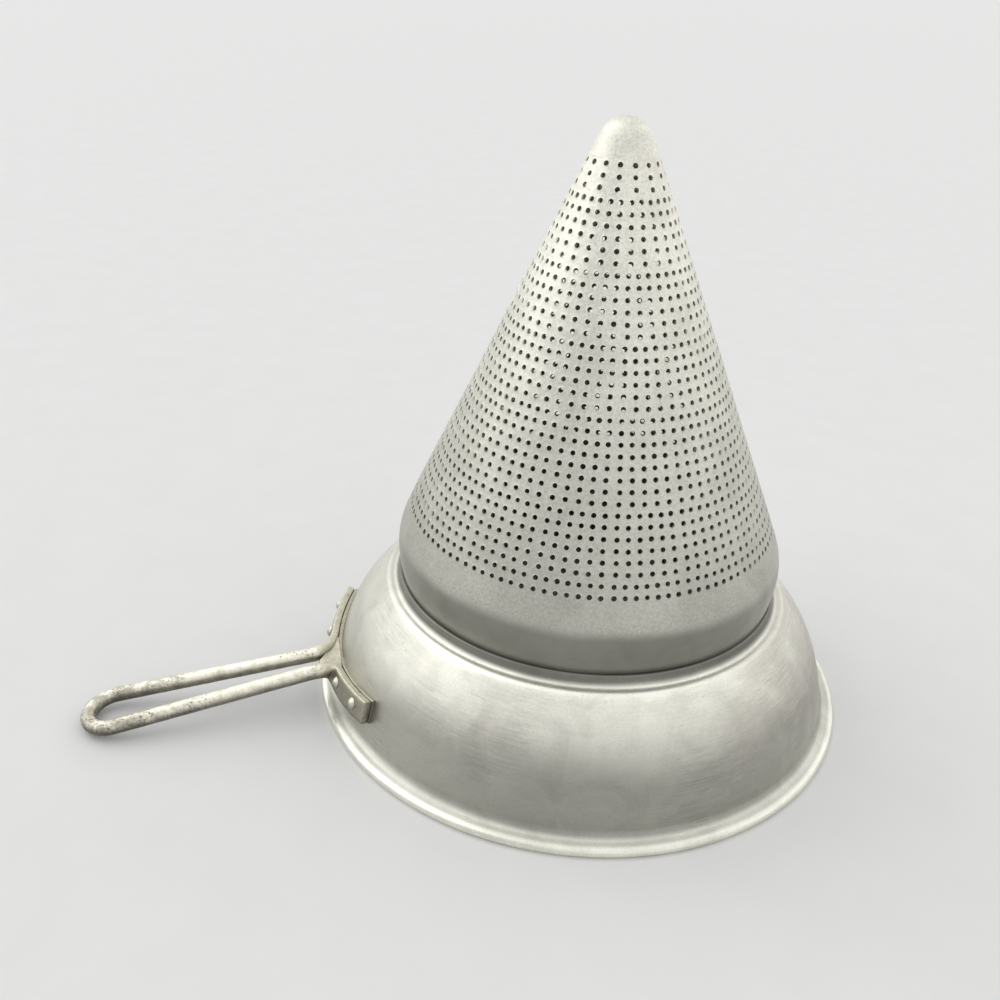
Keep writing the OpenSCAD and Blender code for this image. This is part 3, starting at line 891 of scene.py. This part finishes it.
def bowl_zones(f):
    """Tone, rubbing and grain of the bowl: painted shade on the collar and the wall's foot, painted
    highlights on the upper wall, crest and flange, a lighter roll, rubbed edges.
    """
    ragged = (f.noise(26) - 0.5) * (10 * MM)
    collar, crest = f.fade(f.radius, *COLLAR), f.fade(f.radius, *CREST)
    flange, roll = f.step(f.radius, *FLANGE), f.step(f.radius, *ROLL)
    handle_side = f.fade(f.x / f.radius, -0.95, -0.4)
    # Painted shade: the wall's foot darkened for the dark reflection of the floor, more on the front;
    # painted light makes it lighter on the handle side
    foot = 0.72 - 0.19 * f.front + 0.12 * handle_side
    # Painted highlight: the upper wall lighter on the front and dimmer on the handle side
    top = 1.02 + 0.2 * f.front - 0.08 * handle_side
    wall = foot + (top - foot) * f.step(f.z + ragged, *BOWL_WALL)
    # Painted highlight on the crest, strongest on the front; painted reflection makes the flange
    # lighter; the roll is lighter, as rubbed metal and painted highlight
    tone = wall + crest * (0.3 * f.front - 0.05) + (0.90 - wall) * flange + roll * 0.3
    # Painted shade: the collar darkened to match the neck's painted shade
    return tone + (0.32 - tone) * collar, crest * 0.6 + roll, 0.45 - collar * 0.2


def rod_finish(name, pit_share, dulled, lit_top_tone):
    """Pale oxidised rod: painted highlight on top, grime and painted shade underneath, dark pits, dull
    rough feet.
    """
    f = Finish(name, metallic=1)
    pale, pit = tuple(settings().finish.rod), tuple(settings().finish.pit)
    mottle = f.noise(190, detail=5, rough=0.75)
    patch = f.noise(30, rough=0.5, warp=0.5)
    grain = f.noise(900, rough=0.65)
    speck = f.noise(800, rough=0.7, warp=0.3)
    top = f.step(f.up, -0.5, 0.75)
    loop, foot = f.fade(f.x, *LOOP), f.fade(f.radius, *FEET)
    pits = f.step(speck, 0.55, 0.62) * f.step(f.noise(55) + loop * 0.12 - top * 0.10, 0.49, 0.60)
    # Grime in a random mottle, heavier at the loop, with painted shade: it is kept off the top so that
    # it gathers underneath
    grime_and_shade = f.step(mottle * 0.5 + grain * 0.5 + loop * 0.09 - top * 0.08, 0.44, 0.54)
    soot = loop * 0.6 * f.step(mottle * 0.6 + grain * 0.4, 0.42, 0.58)
    base = f.mix(f.step(mottle, 0.38, 0.62, 0, 0.5), pale, shade(pale, 0.80))
    base = f.mix(f.step(patch, 0.5, 0.7, 0, 0.5), base, shade(pale, 1.12))
    base = f.mix(grime_and_shade * 0.5, base, shade(pale, 0.40))
    base = f.mix(soot, base, SOOT)
    base = f.mix(foot * dulled, base, OXIDE)
    # Painted light: lighter on top and darker underneath by which way the surface faces, times a random
    # grain
    tone = f.step(f.up, -0.25, 0.90, 0.34, lit_top_tone) * f.step(grain, 0.25, 0.75, 0.82, 1.18)
    base = f.mix(pits * pit_share, base.scaled(tone), pit)
    rough = f.step(mottle, 0.3, 0.7, 0.27, 0.45) + foot * 0.1
    height = mottle * 0.7 + grain * 0.7 - pits * 1.2 - grime_and_shade * 0.4
    return f.finish(base, rough, height, bump=0.55, depth=0.3 * MM)


def rivet_finish():
    """Rubbed rivet head, brighter than the strap round it, with painted light: lighter on top, darker
    low down.
    """
    f = Finish("rubbed rivet", metallic=1)
    bright = tuple(settings().finish.rivet)
    mottle = f.noise(420, detail=4, rough=0.65)
    pits = f.fade(f.cells(900), 0.06, 0.2)
    base = f.mix(f.step(mottle, 0.42, 0.66, 0, 0.7), bright, shade(bright, 0.62))
    # Painted light: the head lighter on top and darker low down by which way it faces
    base = f.mix(pits * 0.4, base.scaled(f.step(f.up, -0.4, 0.8, 0.55, 1.15)), RIVET_PIT)
    rough = f.step(mottle, 0.3, 0.7, 0.34, 0.5)
    return f.finish(base, rough, mottle - pits * 0.8, bump=0.45, depth=0.2 * MM)


def floor_finish():
    """Pale matt studio floor with a faint grain."""
    f = Finish("studio floor", metallic=0)
    tone = tuple(settings().finish.floor)
    grain = f.noise(30, detail=4)
    base = f.mix(f.step(grain, 0.3, 0.7), tone, shade(tone, 0.985))
    return f.finish(base, f.step(grain, 0.3, 0.7, 0.75, 0.85), grain, bump=0.05, depth=0.2 * MM)


# Operators


def settings():
    return bpy.context.scene.colander


def sections():
    return Sections(settings())


class COLANDER_OT_cone(bpy.types.Operator):
    """Build the cone with every hole punched and burred"""

    bl_idname = "colander.cone"
    bl_label = "Punched Cone"

    def execute(self, context):
        points, faces = PunchedWall(sections()).build()
        points = hand_spun(points, settings().cone.uneven, seed=3.0)
        material = sheet_finish("spun cone", stain_share=0.3, lathe_share=0.2, zones=cone_zones)
        make_piece("punched_cone", points, faces, "perforated_cone", material)
        return {"FINISHED"}


class COLANDER_OT_bowl(bpy.types.Operator):
    """Build the bowl with its collar, flange and rolled rim"""

    bl_idname = "colander.bowl"
    bl_label = "Spun Bowl"

    SIDES = 300

    def execute(self, context):
        points, faces = turned(sections().bowl_outline(), self.SIDES)
        points = hand_spun(points, settings().bowl.uneven, seed=7.0)
        on_floor = [(p.x, p.y, max(p.z, 0.0)) for p in points]
        material = sheet_finish("spun bowl", stain_share=0.5, lathe_share=0.6, zones=bowl_zones)
        make_piece("spun_bowl", on_floor, faces, "bowl", material)
        return {"FINISHED"}


class COLANDER_OT_handle(bpy.types.Operator):
    """Build the hairpin rod with its flattened feet"""

    bl_idname = "colander.handle"
    bl_label = "Rod Handle"

    SIDES = 40
    ROUGH = 0.07 * MM

    def execute(self, context):
        far, near = (HandlePath(sections(), side).stations() for side in (1, -1))
        whole = far + near[-2::-1]
        points = []
        for middle, inward, up, thick, wide, p in whole:
            for a in circle(self.SIDES):
                out = inward * thick * power(cos(a), p) + up * wide * power(sin(a), p)
                v = Vector(middle + out)
                waves = unevenness(v, coarse=160, fine=420, fine_share=0.6)
                points.append(v + Vector(out).normalized() * waves * self.ROUGH)
        material = rod_finish("pitted rod", pit_share=0.65, dulled=0.75, lit_top_tone=1.2)
        make_piece("rod_handle", points, tube_faces(len(whole), self.SIDES),
                   "handle", material, smooth_angle=40)
        return {"FINISHED"}


class COLANDER_OT_strap(bpy.types.Operator):
    """Build the backing strap with its web in the fork of the rods"""

    bl_idname = "colander.strap"
    bl_label = "Backing Strap"

    EASED = 0.3 * MM
    BACK_STEPS, SIDE_STEPS = 8, 34
    FROM_MIDDLE = radians(1.5)
    # Share of the bend at which the web's side begins, and how deep it sits in the rods
    WEB_FROM, WEB_STEPS = 0.35, 14
    WEB_SUNK, WEB_BEVEL = 0.15 * MM, 0.4 * MM
    TONGUE_BEVEL, TONGUE_TIP = 0.8 * MM, 0.55
    # How much of a layer's narrowing shortens it too
    SHORTENED = 0.05
    # Extra half height of the web at the wall, and how far out it reaches
    THICKENING, THICKENED = 1.6 * MM, 11 * MM
    DENT, DENT_SCALE = Vector((0.06, 0.018, 0.048)) * MM, 240

    def section(self, h, bowl):
        """Outline of the strap as (out, up): hollow back on the wall, eased edges."""
        half, ease_r = h.strap_wide / 2, self.EASED
        heights = (-half + h.strap_wide * i / self.BACK_STEPS for i in range(self.BACK_STEPS + 1))
        back = [(bowl.gap - y * y / (2 * bowl.lower_dome), y) for y in heights]
        return back + [(h.strap_thick - ease_r, half), (h.strap_thick, half - ease_r),
                       (h.strap_thick, -half + ease_r), (h.strap_thick - ease_r, -half)]

    def band(self, s):
        """Points and faces of the strap, bent to the wall behind both feet."""
        section, reach = self.section(s.handle, s.bowl), s.handle.foot_end
        points, steps = [], self.SIDE_STEPS
        for side in (-1, 1):
            foot = Foot(s, side)
            for k in range(steps + 1):
                share = k / steps if side > 0 else 1 - k / steps
                point, _, out, up = foot.at(self.FROM_MIDDLE + (reach - self.FROM_MIDDLE) * share)
                points += [point + out * x + up * y for x, y in section]
        return points, tube_faces(2 * (steps + 1), len(section))

    def web_edge(self, path):
        """Edge of the web along one rod, from the tongue's end to the wall."""
        x, y = path.tongue_x, path.side * path.h.tongue_half
        edge = [(x, y * self.TONGUE_TIP), (x + self.TONGUE_BEVEL, y)]
        for i in range(self.WEB_STEPS + 1):
            t = self.WEB_FROM + (1 - self.WEB_FROM) * i / self.WEB_STEPS
            place, travel = path.bend_point(t)
            out = path.side * (path.half_size(t, path.h.foot_thick) - self.WEB_SUNK)
            edge.append((place[0] + travel[1] * out, place[1] - travel[0] * out))
        return edge

    def web(self, s):
        """Points and faces of the plate between the rods, thicker at the strap."""
        far, near = (HandlePath(s, side) for side in (1, -1))
        ring = self.web_edge(far) + self.web_edge(near)[::-1]
        wall_r, middle = s.foot_point[0], far.curve[3][2]
        half = s.handle.web_height / 2
        # Height from the middle, and share of the full width
        layers = ((-half - self.WEB_BEVEL, 0.93), (-half, 1.0), (half, 1.0),
                  (half + self.WEB_BEVEL, 0.95))
        points = []
        for lift, share in layers:
            for x, y in ring:
                rise = max(0.0, 1 - (-x - wall_r) / self.THICKENED) * self.THICKENING
                points.append((x * (1 - (1 - share) * self.SHORTENED), y * share,
                               middle + lift + copysign(rise, lift)))
        return points, tube_faces(len(layers), len(ring))

    def execute(self, context):
        s = sections()
        band, faces = self.band(s)
        web, web_faces = self.web(s)
        faces += [tuple(i + len(band) for i in face) for face in web_faces]
        points = [v + self.DENT * noise.noise(v * self.DENT_SCALE)
                  for v in map(Vector, band + web)]
        material = rod_finish("pitted strap", pit_share=0.5, dulled=0.6, lit_top_tone=0.88)
        make_piece("backing_strap_piece", points, faces, "backing_strap",
                   material, smooth_angle=35)
        return {"FINISHED"}


class COLANDER_OT_rivets(bpy.types.Operator):
    """Build the four rivets, each set by hand"""

    bl_idname = "colander.rivets"
    bl_label = "Rivets"

    SIDES, DOME_STEPS = 36, 9
    EASED, DENT, DENT_SCALE = 0.3 * MM, 0.09 * MM, 420
    # Share of the tail's height at which its edge starts to be eased
    TAIL_EASED = 0.7

    def outline(self, s):
        """Radius and height from the wall of a rivet, from the head to the tail."""
        h, gap = s.handle, s.bowl.gap
        ball = (h.head_rise ** 2 + (h.head / 2) ** 2) / (2 * h.head_rise)
        reach = asin(h.head / 2 / ball)
        base, low = h.strap_thick + h.foot_thick + 2 * gap, -s.bowl.sheet - gap
        angles = [reach * i / self.DOME_STEPS for i in range(self.DOME_STEPS + 1)]
        head = [(ball * sin(a), base + h.head_rise - ball + ball * cos(a)) for a in angles]
        return head + [(h.shank / 2, base), (h.shank / 2, low), (h.tail / 2, low),
                       (h.tail / 2, low - h.tail_rise * self.TAIL_EASED),
                       (h.tail / 2 - self.EASED, low - h.tail_rise),
                       (0.0, low - h.tail_rise)]

    def rivet(self, foot, a, outline, seed):
        """Points of one rivet at angle a of a foot, its head dented."""
        base, side, axis, other = (Vector(v) for v in foot.at(a))
        points = []
        for r, height in outline:
            for t in circle(self.SIDES):
                v = base + axis * height + (side * cos(t) + other * sin(t)) * r
                dent = noise.noise(v * self.DENT_SCALE + Vector((seed, 0, 0))) * self.DENT
                points.append(v + axis * (dent if height > 0 else 0))
        return points

    def execute(self, context):
        s, h = sections(), settings().handle
        outline, material = self.outline(s), rivet_finish()
        faces = ring_faces(len(outline), self.SIDES)
        places = ((-1, h.rivet_outer), (-1, h.rivet_inner), (1, h.rivet_inner), (1, h.rivet_outer))
        for k, (side, a) in enumerate(places, start=1):
            make_piece(f"set_rivet_{k}", self.rivet(Foot(s, side), a, outline, k), faces,
                       f"rivet_{k}", material)
        return {"FINISHED"}


class COLANDER_OT_stage(bpy.types.Operator):
    """Set the pale floor, the soft lights and the camera"""

    bl_idname = "colander.stage"
    bl_label = "Stage"

    FLOOR_HALF = 60.0
    # Name, degrees round the axis from -Y, degrees above the floor, strength, and
    # spread in degrees
    LAMPS = (("key", -112, 45, 0.77, 75), ("fill", 26, 45, 0.42, 90),
             ("back", 159, 35, 0.62, 110), ("left", -136, 14, 0.30, 70),
             ("right", 94, 14, 0.30, 70))
    WORLD_COLOUR = (0.99, 0.99, 1.0, 1.0)
    # Strength of the world as light, in reflections and as the background
    LIGHT, REFLECTED, SEEN = 0.50, 0.66, 0.805
    SENSOR = 36.0
    NEAREST, FARTHEST = 0.01, 200.0

    def floor(self):
        x = self.FLOOR_HALF
        mesh = bpy.data.meshes.new("floor")
        mesh.from_pydata([(-x, -x, 0), (x, -x, 0), (x, x, 0), (-x, x, 0)], [], [(0, 1, 2, 3)])
        mesh.materials.append(floor_finish())
        add_object("floor", mesh)

    def lamps(self):
        for name, azimuth, elevation, strength, spread in self.LAMPS:
            data = bpy.data.lights.new(name, "SUN")
            data.energy, data.angle = strength, radians(spread)
            add_object(name, data).rotation_euler = (radians(90 - elevation), 0, radians(azimuth))

    def world(self):
        world = bpy.data.worlds.new("studio")
        bpy.context.scene.world = world
        world.use_nodes = True
        nodes = Nodes(world.node_tree)
        path = nodes.node("ShaderNodeLightPath")
        background = world.node_tree.nodes["Background"]
        background.inputs["Color"].default_value = self.WORLD_COLOUR
        nodes.feed(background.inputs["Strength"],
                   path["Is Glossy Ray"] * (self.REFLECTED - self.LIGHT)
                   + path["Is Camera Ray"] * (self.SEEN - self.LIGHT) + self.LIGHT)

    def camera(self):
        c = settings().stage
        data = bpy.data.cameras.new("camera")
        data.sensor_width, data.lens = self.SENSOR, c.lens
        data.clip_start, data.clip_end = self.NEAREST, self.FARTHEST
        look = (Matrix.Rotation(c.azimuth + c.pan, 3, "Z")
                @ Matrix.Rotation(-c.tilt, 3, "X") @ Matrix.Rotation(c.roll, 3, "Y"))
        right, ahead, up = look.col
        pose = Matrix((right, up, -ahead)).transposed().to_4x4()
        pose.translation = (c.distance * sin(c.azimuth), -c.distance * cos(c.azimuth), c.height)
        camera = add_object("camera", data)
        camera.matrix_world = pose
        bpy.context.scene.camera = camera

    def execute(self, context):
        bpy.context.scene.view_settings.view_transform = "Standard"
        self.floor()
        self.lamps()
        self.world()
        self.camera()
        return {"FINISHED"}


# Add-on parts


class ColanderSettings(bpy.types.PropertyGroup):
    """All settings of the colander"""

    cone: bpy.props.PointerProperty(type=ConeSettings)
    bowl: bpy.props.PointerProperty(type=BowlSettings)
    handle: bpy.props.PointerProperty(type=HandleSettings)
    finish: bpy.props.PointerProperty(type=FinishSettings)
    stage: bpy.props.PointerProperty(type=StageSettings)


OPERATORS = (COLANDER_OT_cone, COLANDER_OT_bowl, COLANDER_OT_handle,
             COLANDER_OT_strap, COLANDER_OT_rivets, COLANDER_OT_stage)


class COLANDER_PT_panel(bpy.types.Panel):
    """Sizes and buttons of the colander"""

    bl_label = "Colander"
    bl_space_type = "VIEW_3D"
    bl_region_type = "UI"
    bl_category = "Colander"

    def draw(self, context):
        for part in ("cone", "bowl", "handle", "finish", "stage"):
            box = self.layout.box()
            box.label(text=part.title())
            group = getattr(settings(), part)
            for name in group.__annotations__:
                box.prop(group, name)
        for operator in OPERATORS:
            self.layout.operator(operator.bl_idname)


CLASSES = (ConeSettings, BowlSettings, HandleSettings, FinishSettings, StageSettings,
           ColanderSettings, *OPERATORS, COLANDER_PT_panel)


def register():
    for cls in CLASSES:
        bpy.utils.register_class(cls)
    bpy.types.Scene.colander = bpy.props.PointerProperty(type=ColanderSettings)


def unregister():
    del bpy.types.Scene.colander
    for cls in reversed(CLASSES):
        bpy.utils.unregister_class(cls)


def main():
    register()
    bpy.ops.colander.stage()
    bpy.ops.colander.cone()
    bpy.ops.colander.bowl()
    bpy.ops.colander.handle()
    bpy.ops.colander.strap()
    bpy.ops.colander.rivets()


if __name__ == "__main__":
    main()
